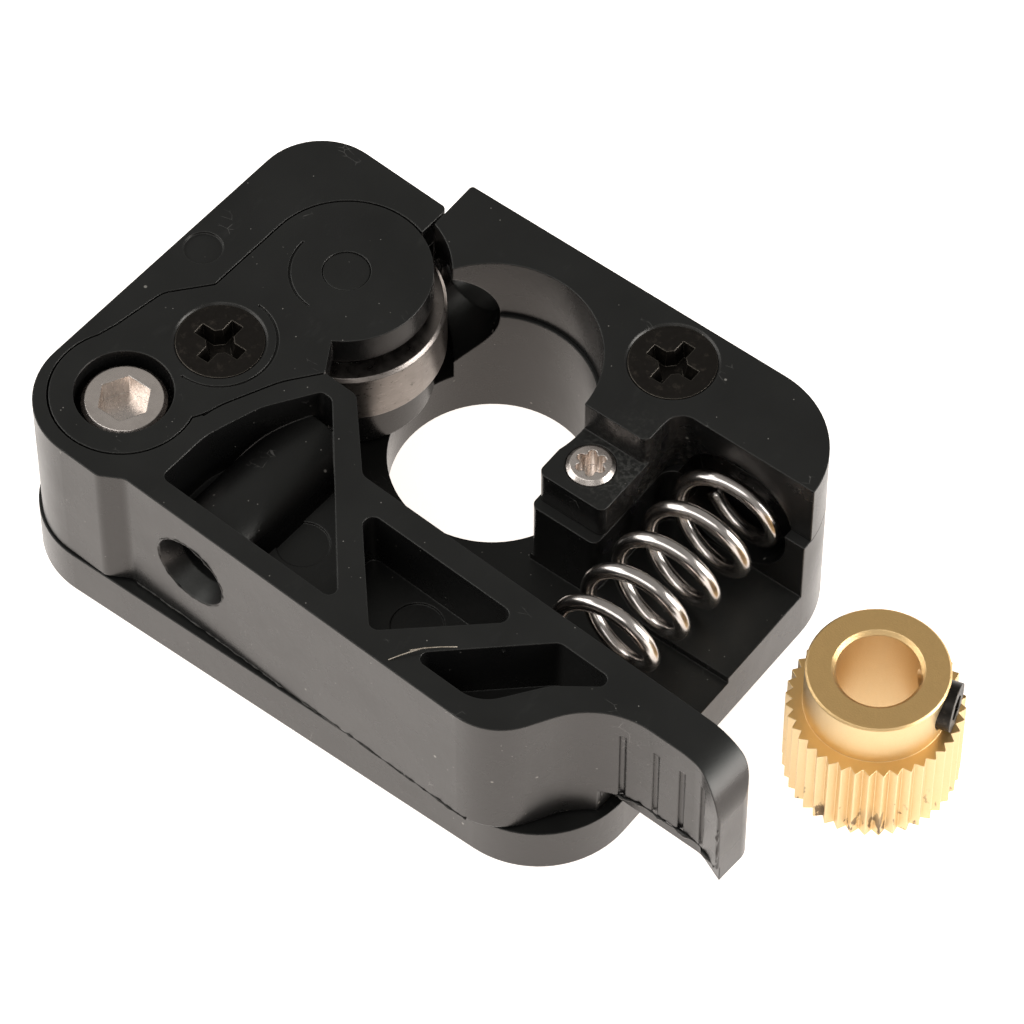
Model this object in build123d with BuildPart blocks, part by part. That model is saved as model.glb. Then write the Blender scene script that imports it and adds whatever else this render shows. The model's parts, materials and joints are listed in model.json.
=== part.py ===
from build123d import *

import os
from math import atan, cos, degrees, radians, sin

# Direct-drive filament feeder for a NEMA 17 motor: a fixed block, a sprung lever that
# carries an idler bearing, and the toothed drive gear that belongs on the motor's shaft.
# Millimetres. The origin is the motor shaft's axis at the block's underside, +Z is up,
# +X runs along the lever's long arm and +Y is the way the filament travels.

os.makedirs("parts", exist_ok=True)

# ---------------------------------------------------------------- driving dimensions
# motor
MOTOR_PITCH = 31.0            # screw spacing of the motor face
SHAFT_DIAMETER = 5.0
# block
BLOCK_HALF = 21.15            # from the shaft axis to the left, right and front faces
BLOCK_BACK = 9.2              # from the shaft axis to the back face
BLOCK_HEIGHT = 14.0
PLATE_THICKNESS = 3.5
BAY_FLOOR = 4.0               # floor under the spring
SEAM_HEIGHT = 9.0             # joint between the block and its cap, and the filament's axis
BORE_DIAMETER = 12.8
CAP_BORE_DIAMETER = 13.3
LEDGE = 0.7                   # how far the block stands out from its cap in the spring bay
CORNER_RADIUS = 6.3
HIDDEN_CORNER_RADIUS = 4.2
TOWER_LEFT = -8.6
TOWER_STEP = 6.6              # y of the plate's back edge under the lever
POST_LEFT = 6.4               # post beside the bore that carries the cap's foot
POST_RIGHT = 11.2
FOOT_FRONT = -3.9
FOOT_HEIGHT = 2.6
NOSE_FRONT = 0.35
CAP_BAY_BACK = 3.4
CAP_SCREW_X = 8.9
CAP_SCREW_Y = 6.0
FOOT_SCREW_X = 8.6
FOOT_SCREW_Y = -1.6
# lever
LEVER_CLEARANCE = 0.2         # between the plate and the lever
LEVER_REST_ANGLE = -3.0       # with no filament, the lever's tip rests near the tower
ARM_HALF = 4.62
ARM_LENGTH = 44.6             # pivot axis to the thumb tab's tip
LEVER_LEFT = 5.1
BOSS_FRONT = 5.5
LEVER_TOP_END = 22.75
LEVER_STOP_SIDE = 5.62        # face that rests near the tower
WALL = 1.5
POCKET_FLOOR = 9.6
FORK_THICKNESS = 2.9
TAB_START = 35.9
TAB_LIFT = 0.6                # the tab's underside is a little above the lever's
TAB_BAND = 1.4                # height of the set-back strip along the tab's lower edge
TAB_ROUND = 3.6               # the top face rolls over at the tip
GRIP_RADIUS = 0.22            # upright grooves in that face
GRIP_DROP = 2.0               # from the top face down to the grooves
# clamp plate
CLAMP_THICKNESS = 2.0
CLAMP_PIVOT_RADIUS = 4.45
CLAMP_PIN_RADIUS = 5.24
CLAMP_SCREW_X = 1.8
CLAMP_SCREW_Y = 6.5
# bearing
BEARING_BORE = 4.0
BEARING_DIAMETER = 12.0
BEARING_WIDTH = 4.0
BEARING_X = 4.1               # from the pivot, in the lever's own axes
BEARING_Y = 15.25
BALL_DIAMETER = 1.6
BALL_COUNT = 7
BALL_PITCH_RADIUS = 4.0
INNER_RING_RADIUS = 3.35
OUTER_RING_BORE_RADIUS = 4.65
RACE_CHAMFER = 0.2
CAGE_THICKNESS = 0.6
CAGE_HEIGHT = 2.4
SHIELD_THICKNESS = 0.2
SHIELD_SINK = 0.1
PIN_NOSE_DIAMETER = 2.85
# fasteners
SCREW_DIAMETER = 3.0
CAP_HEAD_DIAMETER = 5.2
CAP_HEAD_GAP = 0.4            # around the head in its hole
CAP_HEAD_HEIGHT = 3.0
CAP_HEAD_SINK = 0.65
CAP_HEAD_HEX = 2.9
CAP_SCREW_LENGTH = 10.0
FLAT_HEAD_DIAMETER = 5.4
CROSS_LENGTH = 3.3
CROSS_WIDTH = 0.85
CROSS_CORE = 1.2              # half the diagonal of the cross's middle
CROSS_DEPTH = 1.2
CROSS_TAPER = 10.0
CONE_ANGLE = 90.0             # of every countersunk head
GRUB_HEX = 1.5
FLAT_HEAD_SINK = 0.1
SCREW_TAIL = 0.05             # of each clamping screw beyond its nut
FOOT_SCREW_LENGTH = 8.0
FOOT_SCREW_PROUD = 0.25
LOBE_PITCH_RADIUS = 0.7       # six-lobe recess of the foot screw
LOBE_RADIUS = 0.28
SLEEVE_DIAMETER = 5.0
NUT_FLATS = 5.5
NUT_THICKNESS = 2.4
TOWER_NUT_SEAT = 4.4
CLAMP_NUT_SEAT = 2.7          # above the lever's underside
# filament path
FILAMENT_X = -6.3
OUTLET_DIAMETER = 4.2
FUNNEL_DIAMETER = 8.6
FUNNEL_START = 3.0
FUNNEL_LENGTH = 3.4
TUNNEL_X = 9.2                # from the pivot, in the lever's own axes
TUNNEL_DIAMETER = 6.0
TUNNEL_RIDGE_END = 7.0
INLET_DIAMETER = 4.0
INLET_MOUTH = 5.0
INLET_TAPER = 20.0
# spring
SPRING_MEAN_RADIUS = 2.95
SPRING_WIRE = 1.0
SPRING_TURNS = 5.9
SPRING_SEAT_X = 15.8
SPRING_SEAT_DEPTH = 1.7
SPRING_HEIGHT = 8.1
SPRING_SOCKET_GAP = 0.55      # around the spring in its socket
ARM_SEAT_X = 30.3             # from the pivot, in the lever's own axes
ARM_SEAT_DEPTH = 0.5
PILOT_RADIUS = 2.0
PILOT_LENGTH = 1.8
# drive gear
GEAR_X = 29.8                 # it stands beside the block, hub up
GEAR_Y = -1.93
GEAR_DIAMETER = 10.6
GEAR_TEETH = 40
TOOTH_DEPTH = 0.4
GEAR_HEIGHT = 9.75
TOOTH_LENGTH = 6.4
HUB_DIAMETER = 8.6
GEAR_SCREW_LENGTH = 2.2
GEAR_SCREW_START = 2.65       # from the gear's axis
GEAR_SCREW_ANGLE = 18.0
# shared clearances and small features
FIT = 0.05                    # radial, shaft in hole
SEAT_GAP = 0.05               # faces that meet end to end
MOVING_GAP = 0.35             # between a swept piece and what it passes
MARK_DEPTH = 0.15
MARK_RADIUS = 1.6
MARK_RING_RADIUS = 3.5
EJECTOR_X = -3.6              # shallow disc in the lever's top face
EJECTOR_Y = 11.0
EJECTOR_RADIUS = 1.2
LINE_WIDTH = 0.14
EDGE = 0.25

# ---------------------------------------------------------------- derived places
PIVOT_X = -MOTOR_PITCH / 2
PIVOT_Y = -MOTOR_PITCH / 2
LEVER_BOTTOM = PLATE_THICKNESS + LEVER_CLEARANCE
CLAMP_BOTTOM = BLOCK_HEIGHT - CLAMP_THICKNESS
BEARING_BOTTOM = SEAM_HEIGHT - BEARING_WIDTH / 2
BEARING_TOP = SEAM_HEIGHT + BEARING_WIDTH / 2
FORK_TOP = LEVER_BOTTOM + FORK_THICKNESS
BLOCK_BAY_BACK = CAP_BAY_BACK - LEDGE
POST_FRONT = FOOT_FRONT - LEDGE
BAY_DEPTH = BLOCK_BACK - POST_FRONT - CORNER_RADIUS
CAP_BOTTOM = SEAM_HEIGHT + SEAT_GAP
FOOT_TOP = SEAM_HEIGHT + FOOT_HEIGHT
HEAD_TOP = BLOCK_HEIGHT - CAP_HEAD_SINK
HEAD_SEAT = HEAD_TOP - CAP_HEAD_HEIGHT
FLAT_TOP = BLOCK_HEIGHT - FLAT_HEAD_SINK
SCREW_HOLE = SCREW_DIAMETER / 2 + FIT
FLAT_SCREW_SINK = FLAT_HEAD_DIAMETER / 2 + FLAT_HEAD_SINK + FIT
PIN_RADIUS = BEARING_BORE / 2 - FIT
SPRING_SOCKET_RADIUS = SPRING_MEAN_RADIUS + SPRING_WIRE / 2 + SPRING_SOCKET_GAP
TOWER_NUT_TOP = TOWER_NUT_SEAT - SEAT_GAP
CLAMP_NUT_TOP = LEVER_BOTTOM + CLAMP_NUT_SEAT - SEAT_GAP
TOWER_SCREW_LENGTH = FLAT_TOP - TOWER_NUT_TOP + NUT_THICKNESS + SCREW_TAIL
CLAMP_SCREW_LENGTH = FLAT_TOP - CLAMP_NUT_TOP + NUT_THICKNESS + SCREW_TAIL


def lever_plane(height):
    """Horizontal plane at a height, centred on the pivot and turned with the lever."""
    angle = radians(LEVER_REST_ANGLE)
    return Plane(origin=(PIVOT_X, PIVOT_Y, height), x_dir=(cos(angle), sin(angle), 0), z_dir=(0, 0, 1))


def on_lever(x, y):
    """Place in the block's axes of a point given in the lever's axes."""
    point = lever_plane(0).from_local_coords(Vector(x, y, 0))
    return point.X, point.Y


def across(plane, x, y, z):
    """Plane at a point of a horizontal plane, whose normal is that plane's +Y."""
    return Plane(origin=plane.from_local_coords(Vector(x, y, z)), x_dir=plane.x_dir, z_dir=plane.y_dir)


def outline(corners, mode=Mode.ADD):
    """Closed face from (x, y, corner radius) rows."""
    points = [(x, y) for x, y, radius in corners]
    radii = [radius for x, y, radius in corners]
    with BuildLine() as edge:
        FilletPolyline(*points, radius=radii, close=True)
    make_face(edge.edges(), mode=mode)


BEARING_REST_X, BEARING_REST_Y = on_lever(BEARING_X, BEARING_Y)
BEARING_ROOM = BEARING_DIAMETER / 2 + MOVING_GAP


def bore_along_y(x, y, z, radius, length, taper=0):
    """Cut a hole that starts at a point and runs toward +Y, narrowing by a taper in degrees."""
    with BuildSketch(Plane(origin=(x, y, z), x_dir=(1, 0, 0), z_dir=(0, 1, 0))) as mouth:
        Circle(radius)
    extrude(mouth.sketch, amount=length, taper=taper, mode=Mode.SUBTRACT)


def filament_hole():
    """Cut the filament's way through the tower, with its funnel beside the bearing."""
    narrowing = degrees(atan((FUNNEL_DIAMETER - OUTLET_DIAMETER) / 2 / FUNNEL_LENGTH))
    bore_along_y(FILAMENT_X, 0, SEAM_HEIGHT, OUTLET_DIAMETER / 2, BLOCK_BACK)
    bore_along_y(FILAMENT_X, FUNNEL_START, SEAM_HEIGHT, FUNNEL_DIAMETER / 2, FUNNEL_LENGTH, narrowing)


def spring_socket():
    """Cut the round seat that holds the spring's end in the tower."""
    depth = CAP_BAY_BACK + SPRING_SEAT_DEPTH - BLOCK_BAY_BACK
    bore_along_y(SPRING_SEAT_X, BLOCK_BAY_BACK, SPRING_HEIGHT, SPRING_SOCKET_RADIUS, depth)


PLATE_OUTLINE = [
    (-BLOCK_HALF, -BLOCK_HALF, BLOCK_HALF + PIVOT_X),
    (BLOCK_HALF, -BLOCK_HALF, CORNER_RADIUS),
    (BLOCK_HALF, BLOCK_BACK, CORNER_RADIUS),
    (TOWER_LEFT, BLOCK_BACK, EDGE),
    (TOWER_LEFT, TOWER_STEP, EDGE),
    (-BLOCK_HALF, TOWER_STEP, HIDDEN_CORNER_RADIUS),
]

# ---------------------------------------------------------------- block
with BuildPart() as base_block:
    with BuildSketch(Plane.XY):
        outline(PLATE_OUTLINE)
    extrude(amount=PLATE_THICKNESS)
    with BuildSketch(Plane.XY.offset(PLATE_THICKNESS)):
        outline(
            [
                (TOWER_LEFT, 0, EDGE),
                (POST_LEFT, 0, 0),
                (POST_LEFT, POST_FRONT, 2 * EDGE),
                (POST_RIGHT, POST_FRONT, 2 * EDGE),
                (POST_RIGHT, BLOCK_BAY_BACK, 4 * EDGE),
                (BLOCK_HALF, BLOCK_BAY_BACK, 0),
                (BLOCK_HALF, BLOCK_BACK, 0),
                (TOWER_LEFT, BLOCK_BACK, EDGE),
            ]
        )
        outline(PLATE_OUTLINE, mode=Mode.INTERSECT)
        with Locations((BEARING_REST_X, BEARING_REST_Y)):
            Circle(BEARING_ROOM, mode=Mode.SUBTRACT)
    extrude(amount=SEAM_HEIGHT - PLATE_THICKNESS)
    with BuildSketch(Plane.XY.offset(PLATE_THICKNESS)):
        with Locations((POST_LEFT, POST_FRONT)):
            Rectangle(BLOCK_HALF - POST_LEFT, BAY_DEPTH, align=(Align.MIN, Align.MIN))
    extrude(amount=BAY_FLOOR - PLATE_THICKNESS)
    with BuildSketch(Plane.XY):
        Circle(BORE_DIAMETER / 2)
    extrude(amount=SEAM_HEIGHT, mode=Mode.SUBTRACT)
    with BuildSketch(Plane.XY):
        with Locations((PIVOT_X, PIVOT_Y)):
            Circle(SCREW_HOLE)
        with Locations((CAP_SCREW_X, CAP_SCREW_Y)):
            Circle(SCREW_HOLE)
    extrude(amount=BLOCK_HEIGHT, mode=Mode.SUBTRACT)
    with BuildSketch(Plane.XY):
        with Locations((CAP_SCREW_X, CAP_SCREW_Y)):
            RegularPolygon(NUT_FLATS / 2 + FIT, 6, major_radius=False)
    extrude(amount=TOWER_NUT_SEAT, mode=Mode.SUBTRACT)
    with BuildSketch(Plane.XY.offset(FOOT_TOP - FOOT_SCREW_LENGTH)):
        with Locations((FOOT_SCREW_X, FOOT_SCREW_Y)):
            Circle(SCREW_HOLE)
    extrude(amount=FOOT_SCREW_LENGTH, mode=Mode.SUBTRACT)
    with Locations(Location((-PIVOT_X, PIVOT_Y, PLATE_THICKNESS))):
        CounterSinkHole(SCREW_DIAMETER / 2 + 4 * FIT, FLAT_HEAD_DIAMETER / 2 + 6 * FIT, PLATE_THICKNESS, CONE_ANGLE)
    filament_hole()
    spring_socket()
base_block.part.label = "base_block"
export_step(base_block.part, "parts/base_block.step")

# ---------------------------------------------------------------- cap of the tower
with BuildPart() as tower_cap:
    with BuildSketch(Plane.XY.offset(CAP_BOTTOM)):
        outline(
            [
                (TOWER_LEFT, NOSE_FRONT, EDGE),
                (POST_RIGHT, NOSE_FRONT, 2 * EDGE),
                (POST_RIGHT, CAP_BAY_BACK, 5 * EDGE),
                (BLOCK_HALF, CAP_BAY_BACK, 0),
                (BLOCK_HALF, BLOCK_BACK, 0),
                (TOWER_LEFT, BLOCK_BACK, EDGE),
            ]
        )
        outline(PLATE_OUTLINE, mode=Mode.INTERSECT)
        with Locations((BEARING_REST_X, BEARING_REST_Y)):
            Circle(BEARING_ROOM, mode=Mode.SUBTRACT)
    extrude(amount=BLOCK_HEIGHT - CAP_BOTTOM)
    with BuildSketch(Plane.XY.offset(CAP_BOTTOM)):
        outline(
            [
                (POST_LEFT, CAP_BAY_BACK, 0),
                (POST_LEFT, FOOT_FRONT, 2 * EDGE),
                (POST_RIGHT, FOOT_FRONT, 2 * EDGE),
                (POST_RIGHT, CAP_BAY_BACK, 0),
            ]
        )
    extrude(amount=FOOT_TOP - CAP_BOTTOM)
    with BuildSketch(Plane.XY.offset(CAP_BOTTOM)):
        Circle(CAP_BORE_DIAMETER / 2)
    extrude(amount=BLOCK_HEIGHT - CAP_BOTTOM, mode=Mode.SUBTRACT)
    with BuildSketch(Plane.XY.offset(CAP_BOTTOM)):
        with Locations((FOOT_SCREW_X, FOOT_SCREW_Y)):
            Circle(SCREW_HOLE)
    extrude(amount=FOOT_HEIGHT, mode=Mode.SUBTRACT)
    with Locations(Location((CAP_SCREW_X, CAP_SCREW_Y, BLOCK_HEIGHT))):
        CounterSinkHole(SCREW_HOLE, FLAT_SCREW_SINK, BLOCK_HEIGHT - SEAM_HEIGHT, CONE_ANGLE)
    filament_hole()
    spring_socket()
tower_cap.part.label = "tower_cap"
export_step(tower_cap.part, "parts/tower_cap.step")

# ---------------------------------------------------------------- lever
BODY_OUTLINE = [
    (-LEVER_LEFT, -BOSS_FRONT, 5.0),
    (2.9, -BOSS_FRONT, 0.8),
    (4.3, -ARM_HALF, 0.8),
    (32.2, -ARM_HALF, 4.0),
    (35.7, 1.75, 5.5),
    (ARM_LENGTH - 2.0, 1.9, 2.0),
    (ARM_LENGTH, 1.15, 0.15),
    (ARM_LENGTH, ARM_HALF, 1.2),
    (14.7, ARM_HALF, 0.8),
    (10.6, 8.75, 0.8),
    (8.1, 8.75, 0.2),
    (6.7, 11.0, 0.2),
    (LEVER_STOP_SIDE, 19.0, 0.2),
    (LEVER_STOP_SIDE, LEVER_TOP_END, 0.4),
    (-LEVER_LEFT, LEVER_TOP_END, 4.25),
]
INNER = ARM_HALF - WALL
POCKETS = [
    [(5.8, -INNER, 0.5), (19.6, -INNER, 0.5), (9.7, 7.6, 0.6), (8.9, 7.6, 0.4), (6.9, 4.4, 4.0), (5.8, 0.8, 4.0)],
    [(16.1, INNER - 0.2, 0.6), (22.2, -INNER - 0.25, 0.6), (28.6, INNER - 0.2, 0.6)],
    [(24.9, -INNER, 0.5), (30.2, -INNER, 2.5), (32.6, 0.5, 3.0), (35.8, INNER, 0.5), (31.1, INNER, 0.8)],
]
EJECTOR_MARKS = [(13.2, 0.9), (22.1, 0.9)]
TAB_STRIP = [
    (TAB_START, -1.0, 0),
    (TAB_START, 2.0, 0),
    (ARM_LENGTH - 1.9, 2.15, 1.8),
    (ARM_LENGTH + 0.4, 1.3, 0),
    (ARM_LENGTH + 0.4, -1.0, 0),
]
GRIPS = [(37.2, 1.48), (39.4, 1.8), (41.3, 1.84), (42.9, 1.78)]
CLAMP_WAIST = [
    (-CLAMP_PIVOT_RADIUS, 0, 0),
    (CLAMP_PIVOT_RADIUS, 0, 3.0),
    (4.8, 2.7, 6.0),
    (6.5, 6.6, 6.0),
    (8.1, 8.8, 0.2),
    (6.7, 11.0, 0),
    (BEARING_X, BEARING_Y, 0),
    (BEARING_X - CLAMP_PIN_RADIUS, BEARING_Y, 0),
    (BEARING_X - CLAMP_PIN_RADIUS, 9.4, 0.4),
    (-3.1, 6.9, 1.5),
    (-3.6, 3.4, 3.0),
]


def clamp_face(grow):
    """Face of the clamp plate, grown by a clearance."""
    outline(CLAMP_WAIST)
    Circle(CLAMP_PIVOT_RADIUS)
    with Locations((BEARING_X, BEARING_Y)):
        Circle(CLAMP_PIN_RADIUS)
    if grow > 0:
        offset(amount=grow, kind=Kind.INTERSECTION)


with BuildPart() as lever:
    with BuildSketch(lever_plane(LEVER_BOTTOM)):
        outline(BODY_OUTLINE)
    extrude(amount=BLOCK_HEIGHT - LEVER_BOTTOM)
    with BuildSketch(lever_plane(LEVER_BOTTOM)):
        with Locations((BEARING_X, BEARING_Y)):
            Circle(CLAMP_PIN_RADIUS)
    extrude(amount=FORK_THICKNESS)
    for corners in POCKETS:
        with BuildSketch(lever_plane(POCKET_FLOOR)):
            outline(corners)
        extrude(amount=BLOCK_HEIGHT - POCKET_FLOOR, mode=Mode.SUBTRACT)
    for corners in POCKETS[1:]:
        with BuildSketch(lever_plane(LEVER_BOTTOM)):
            outline(corners)
        extrude(amount=POCKET_FLOOR - WALL - LEVER_BOTTOM, mode=Mode.SUBTRACT)
    with BuildSketch(lever_plane(POCKET_FLOOR - MARK_DEPTH)):
        with Locations(*EJECTOR_MARKS):
            Circle(MARK_RADIUS)
    extrude(amount=MARK_DEPTH, mode=Mode.SUBTRACT)
    with BuildSketch(across(lever_plane(SEAM_HEIGHT), TUNNEL_X, -INNER, 0)):
        Circle(TUNNEL_DIAMETER / 2)
    extrude(amount=TUNNEL_RIDGE_END + INNER)
    with BuildSketch(lever_plane(FORK_TOP)):
        with Locations((BEARING_X, BEARING_Y)):
            Circle(BEARING_ROOM)
    extrude(amount=CLAMP_BOTTOM - FORK_TOP, mode=Mode.SUBTRACT)
    with BuildSketch(lever_plane(CLAMP_BOTTOM)):
        clamp_face(EDGE / 2)
    extrude(amount=CLAMP_THICKNESS, mode=Mode.SUBTRACT)
    with BuildSketch(lever_plane(FORK_TOP)):
        with Locations((BEARING_X, BEARING_Y)):
            Circle(BEARING_BORE / 2 + WALL / 2)
    extrude(amount=BEARING_BOTTOM - SEAT_GAP - FORK_TOP)
    with BuildSketch(lever_plane(LEVER_BOTTOM + WALL / 2)):
        with Locations((BEARING_X, BEARING_Y)):
            Circle(BEARING_BORE / 2)
    extrude(amount=BEARING_BOTTOM - LEVER_BOTTOM, mode=Mode.SUBTRACT)
    with BuildSketch(lever_plane(LEVER_BOTTOM)):
        Circle(SLEEVE_DIAMETER / 2 + FIT)
    extrude(amount=BLOCK_HEIGHT, mode=Mode.SUBTRACT)
    with BuildSketch(lever_plane(HEAD_SEAT)):
        Circle(CAP_HEAD_DIAMETER / 2 + CAP_HEAD_GAP)
    extrude(amount=BLOCK_HEIGHT, mode=Mode.SUBTRACT)
    with BuildSketch(lever_plane(LEVER_BOTTOM)):
        with Locations((CLAMP_SCREW_X, CLAMP_SCREW_Y)):
            Circle(SCREW_HOLE)
    extrude(amount=BLOCK_HEIGHT, mode=Mode.SUBTRACT)
    with BuildSketch(lever_plane(LEVER_BOTTOM)):
        with Locations((CLAMP_SCREW_X, CLAMP_SCREW_Y)):
            RegularPolygon(NUT_FLATS / 2 + FIT, 6, major_radius=False)
    extrude(amount=CLAMP_NUT_SEAT, mode=Mode.SUBTRACT)
    with BuildSketch(across(lever_plane(SEAM_HEIGHT), TUNNEL_X, -ARM_HALF - WALL, 0)):
        Circle(INLET_DIAMETER / 2)
    extrude(amount=BEARING_Y, mode=Mode.SUBTRACT)
    with BuildSketch(across(lever_plane(SEAM_HEIGHT), TUNNEL_X, -ARM_HALF, 0)):
        Circle(INLET_MOUTH / 2)
    extrude(amount=WALL, mode=Mode.SUBTRACT, taper=INLET_TAPER)
    with BuildSketch(across(lever_plane(SPRING_HEIGHT), ARM_SEAT_X, ARM_HALF - ARM_SEAT_DEPTH, 0)):
        Circle(SPRING_MEAN_RADIUS + SPRING_WIRE)
    extrude(amount=WALL, mode=Mode.SUBTRACT)
    with BuildSketch(across(lever_plane(SPRING_HEIGHT), ARM_SEAT_X, ARM_HALF - WALL / 2, 0)):
        Circle(PILOT_RADIUS)
    extrude(amount=PILOT_LENGTH)
    with BuildSketch(lever_plane(BLOCK_HEIGHT - MARK_DEPTH)):
        with Locations((EJECTOR_X, EJECTOR_Y)):
            Circle(EJECTOR_RADIUS)
    extrude(amount=MARK_DEPTH, mode=Mode.SUBTRACT)
    with BuildSketch(lever_plane(LEVER_BOTTOM)):
        outline(TAB_STRIP)
    extrude(amount=TAB_LIFT + TAB_BAND, mode=Mode.SUBTRACT)
    with BuildSketch(lever_plane(LEVER_BOTTOM)):
        with Locations((TAB_START, -ARM_HALF)):
            Rectangle(ARM_LENGTH, 3 * ARM_HALF, align=(Align.MIN, Align.MIN))
    extrude(amount=TAB_LIFT, mode=Mode.SUBTRACT)
    roll = across(lever_plane(BLOCK_HEIGHT - TAB_ROUND), ARM_LENGTH - TAB_ROUND, 0, 0)
    with BuildSketch(Plane(origin=roll.origin, x_dir=roll.x_dir, z_dir=roll.z_dir * -1)):
        Rectangle(2 * TAB_ROUND, 2 * TAB_ROUND, align=(Align.MIN, Align.MIN))
        Circle(TAB_ROUND, mode=Mode.SUBTRACT)
    extrude(amount=2 * ARM_HALF, both=True, mode=Mode.SUBTRACT)
    with BuildSketch(lever_plane(LEVER_BOTTOM)):
        with Locations(*GRIPS):
            Circle(GRIP_RADIUS)
    extrude(amount=BLOCK_HEIGHT - GRIP_DROP - LEVER_BOTTOM, mode=Mode.SUBTRACT)
lever.part.label = "lever"
export_step(lever.part, "parts/lever.step")

# ---------------------------------------------------------------- clamp plate over the bearing


def ring_mark(x, y, toward_x, toward_y):
    """Engrave the part of a thin ring that lies on one side of its centre."""
    size = 2 * MARK_RING_RADIUS
    with BuildSketch(lever_plane(BLOCK_HEIGHT - MARK_DEPTH)) as mark:
        with Locations((x, y)):
            Circle(MARK_RING_RADIUS)
            Circle(MARK_RING_RADIUS - LINE_WIDTH, mode=Mode.SUBTRACT)
        with Locations((x + toward_x * MARK_RING_RADIUS, y + toward_y * MARK_RING_RADIUS)):
            Rectangle(size, size, mode=Mode.INTERSECT)
    extrude(mark.sketch, amount=MARK_DEPTH, mode=Mode.SUBTRACT)


with BuildPart() as clamp_plate:
    with BuildSketch(lever_plane(CLAMP_BOTTOM)):
        clamp_face(0)
    extrude(amount=CLAMP_THICKNESS)
    with BuildSketch(lever_plane(BEARING_TOP + SEAT_GAP)):
        with Locations((BEARING_X, BEARING_Y)):
            Circle(BEARING_BORE / 2 + WALL / 2)
    extrude(amount=CLAMP_BOTTOM - BEARING_TOP)
    with BuildSketch(lever_plane(BEARING_TOP)):
        with Locations((BEARING_X, BEARING_Y)):
            Circle(BEARING_BORE / 2)
    extrude(amount=CLAMP_BOTTOM - BEARING_TOP, mode=Mode.SUBTRACT)
    with BuildSketch(lever_plane(BEARING_TOP)):
        Circle(CAP_HEAD_DIAMETER / 2 + CAP_HEAD_GAP)
        with Locations((BEARING_X, BEARING_Y)):
            Circle(PIN_NOSE_DIAMETER / 2 + FIT)
    extrude(amount=BLOCK_HEIGHT, mode=Mode.SUBTRACT)
    with Locations(lever_plane(BLOCK_HEIGHT).location * Location((CLAMP_SCREW_X, CLAMP_SCREW_Y, 0))):
        CounterSinkHole(SCREW_HOLE, FLAT_SCREW_SINK, CLAMP_THICKNESS, CONE_ANGLE)
    ring_mark(BEARING_X, BEARING_Y, -1, -1)
    ring_mark(CLAMP_SCREW_X, CLAMP_SCREW_Y, 1, 0)
clamp_plate.part.label = "clamp_plate"
export_step(clamp_plate.part, "parts/clamp_plate.step")

# ---------------------------------------------------------------- screws, nuts and sleeve


def facing_down(x, y, z):
    """Plane at a point of the block's axes with its normal down."""
    return Plane(origin=(x, y, z), x_dir=(1, 0, 0), z_dir=(0, 0, -1))


def drop(plane, radius, length, mode=Mode.ADD):
    """Round bar or hole that runs from a plane along its normal."""
    with BuildSketch(plane) as section:
        Circle(radius)
    extrude(section.sketch, amount=length, mode=mode)


def flat_head_screw(x, y, length):
    """Countersunk cross-recess screw with its head a little below the top face."""
    top = facing_down(x, y, FLAT_TOP)
    drop(top, SCREW_DIAMETER / 2, length)
    with BuildSketch(top) as head:
        Circle(FLAT_HEAD_DIAMETER / 2)
    extrude(head.sketch, amount=(FLAT_HEAD_DIAMETER - SCREW_DIAMETER) / 2, taper=CONE_ANGLE / 2)
    with BuildSketch(top) as cross:
        Rectangle(CROSS_LENGTH, CROSS_WIDTH)
        Rectangle(CROSS_WIDTH, CROSS_LENGTH)
        RegularPolygon(CROSS_CORE, 4)
    extrude(cross.sketch, amount=CROSS_DEPTH, taper=CROSS_TAPER, mode=Mode.SUBTRACT)


def hex_nut(x, y, top_height, turn=0):
    """Plain hexagon nut whose upper face is at a height."""
    top = facing_down(x, y, top_height).rotated((0, 0, turn))
    with BuildSketch(top) as hexagon:
        RegularPolygon(NUT_FLATS / 2, 6, major_radius=False)
    extrude(hexagon.sketch, amount=NUT_THICKNESS)
    drop(top, SCREW_HOLE, NUT_THICKNESS, Mode.SUBTRACT)


def hex_recess(plane, flats, depth):
    """Cut a hexagon key's recess."""
    with BuildSketch(plane) as recess:
        RegularPolygon(flats / 2, 6, major_radius=False)
    extrude(recess.sketch, amount=depth, mode=Mode.SUBTRACT)


with BuildPart() as tower_screw:
    flat_head_screw(CAP_SCREW_X, CAP_SCREW_Y, TOWER_SCREW_LENGTH)
tower_screw.part.label = "tower_screw"
export_step(tower_screw.part, "parts/tower_screw.step")

with BuildPart() as clamp_screw:
    flat_head_screw(*on_lever(CLAMP_SCREW_X, CLAMP_SCREW_Y), CLAMP_SCREW_LENGTH)
clamp_screw.part.label = "clamp_screw"
export_step(clamp_screw.part, "parts/clamp_screw.step")

with BuildPart() as tower_nut:
    hex_nut(CAP_SCREW_X, CAP_SCREW_Y, TOWER_NUT_TOP)
tower_nut.part.label = "tower_nut"
export_step(tower_nut.part, "parts/tower_nut.step")

with BuildPart() as clamp_nut:
    hex_nut(*on_lever(CLAMP_SCREW_X, CLAMP_SCREW_Y), CLAMP_NUT_TOP, LEVER_REST_ANGLE)
clamp_nut.part.label = "clamp_nut"
export_step(clamp_nut.part, "parts/clamp_nut.step")

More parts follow.
